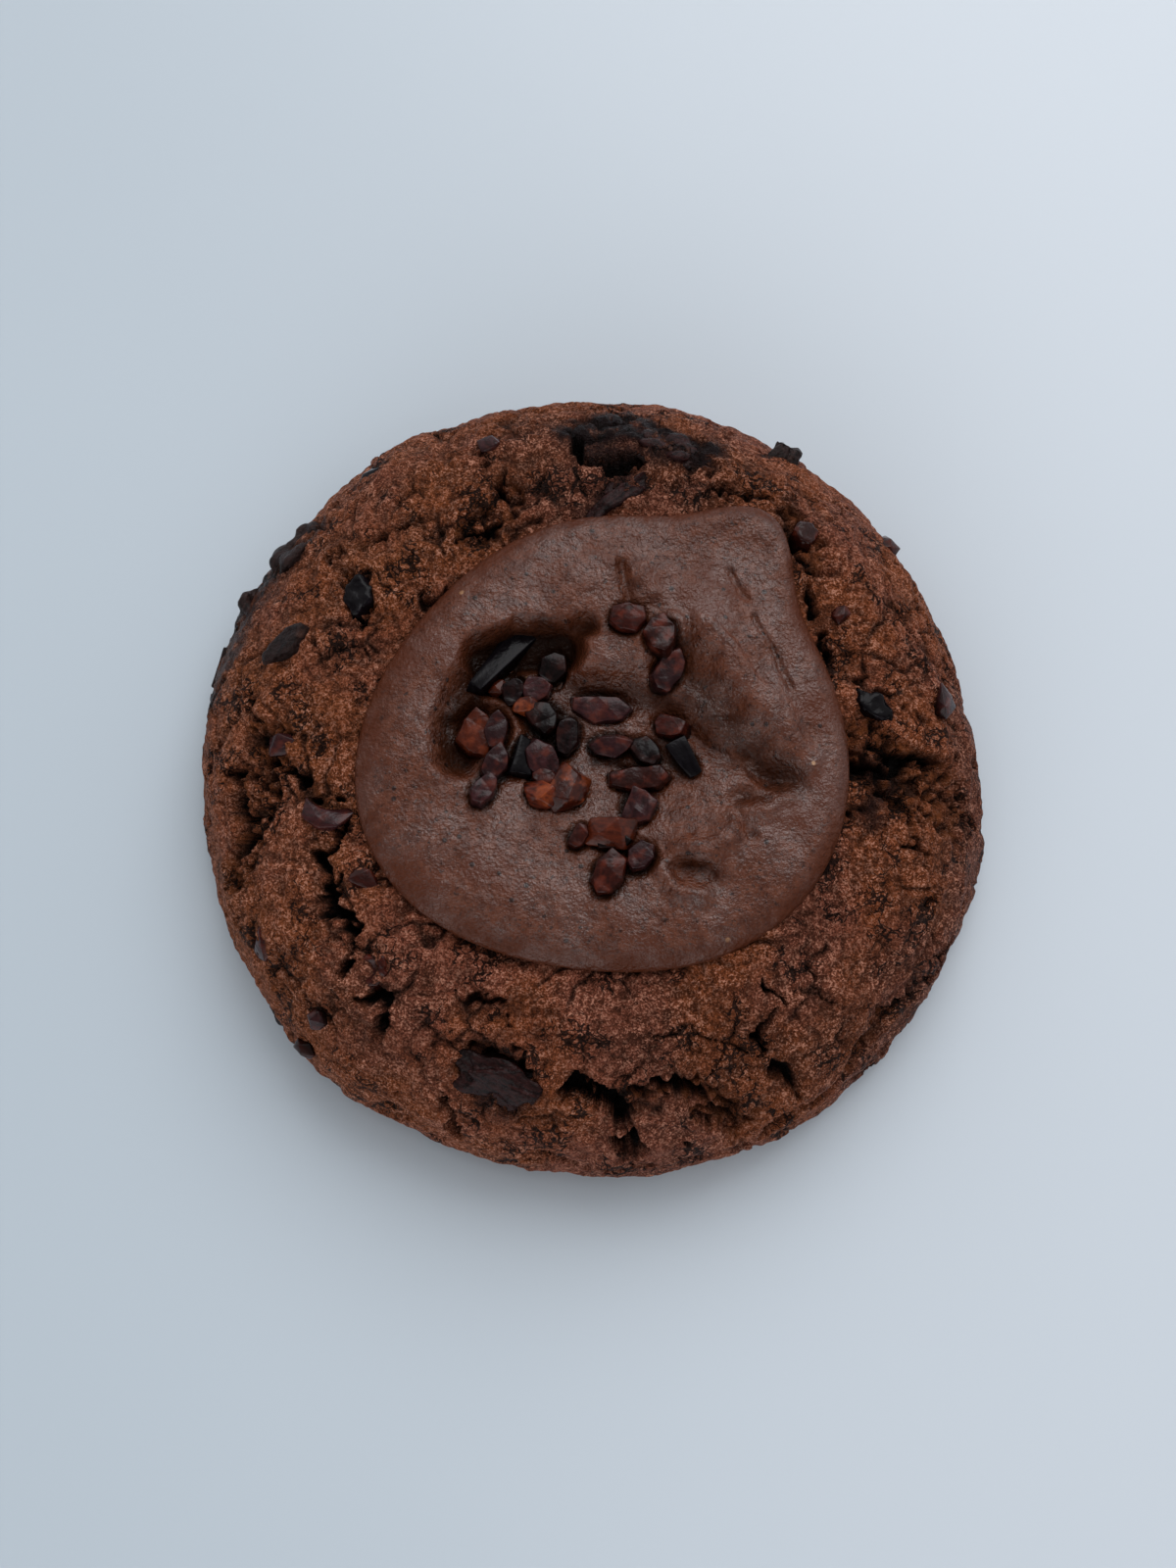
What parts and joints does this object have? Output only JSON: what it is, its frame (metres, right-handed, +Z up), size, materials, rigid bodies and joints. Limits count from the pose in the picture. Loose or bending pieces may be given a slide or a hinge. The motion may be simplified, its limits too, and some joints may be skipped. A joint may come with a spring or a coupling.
{
  "type": "chocolate chip cookie",
  "caption": "Round thick cocoa cookie with a cracked crust, baked-in dark chocolate and cacao nibs, and a scooped pool of chocolate nut spread topped with nibs.",
  "frame": {"origin": "middle of the flat underside, at the centre of the whole cookie's box seen from above", "axes": "+Z up through the cookie's thickness, +Y away from the viewer (the top of the picture), +X to the viewer's right"},
  "size_m": [0.0881, 0.0889, 0.0256],
  "materials": {
    "crust": "matte grainy baked cocoa crust with darker crumb in the cracks",
    "spread": "soft satin chocolate nut spread with fine dark and pale specks",
    "chocolate": "dark chocolate, nearly black, smooth and slightly glossy",
    "nib": "broken cacao nib, red-brown to mauve-black, half matte"
  },
  "bodies": {
    "root": {"cookie": "crust", "chocolate_spread": "spread", "chocolate_leaf_far_left": "chocolate", "chocolate_hook_left": "chocolate", "chocolate_block_left": "chocolate", "chocolate_wedge_right": "chocolate", "chocolate_melt_near": "chocolate", "chocolate_melt_far": "chocolate", "chocolate_smear_far": "chocolate", "chocolate_lump_flank_high": "chocolate", "chocolate_lump_flank_low": "chocolate", "chocolate_chunk_edge_far_right": "chocolate", "chocolate_sliver_left_edge": "chocolate", "chocolate_at_near_foot": "chocolate", "chocolate_at_left_foot": "chocolate", "nib_half_moon": "nib", "nib_red_lower_left": "nib", "nib_in_hole": "nib", "nib_upper_right": "nib"}
  },
  "joints": []
}
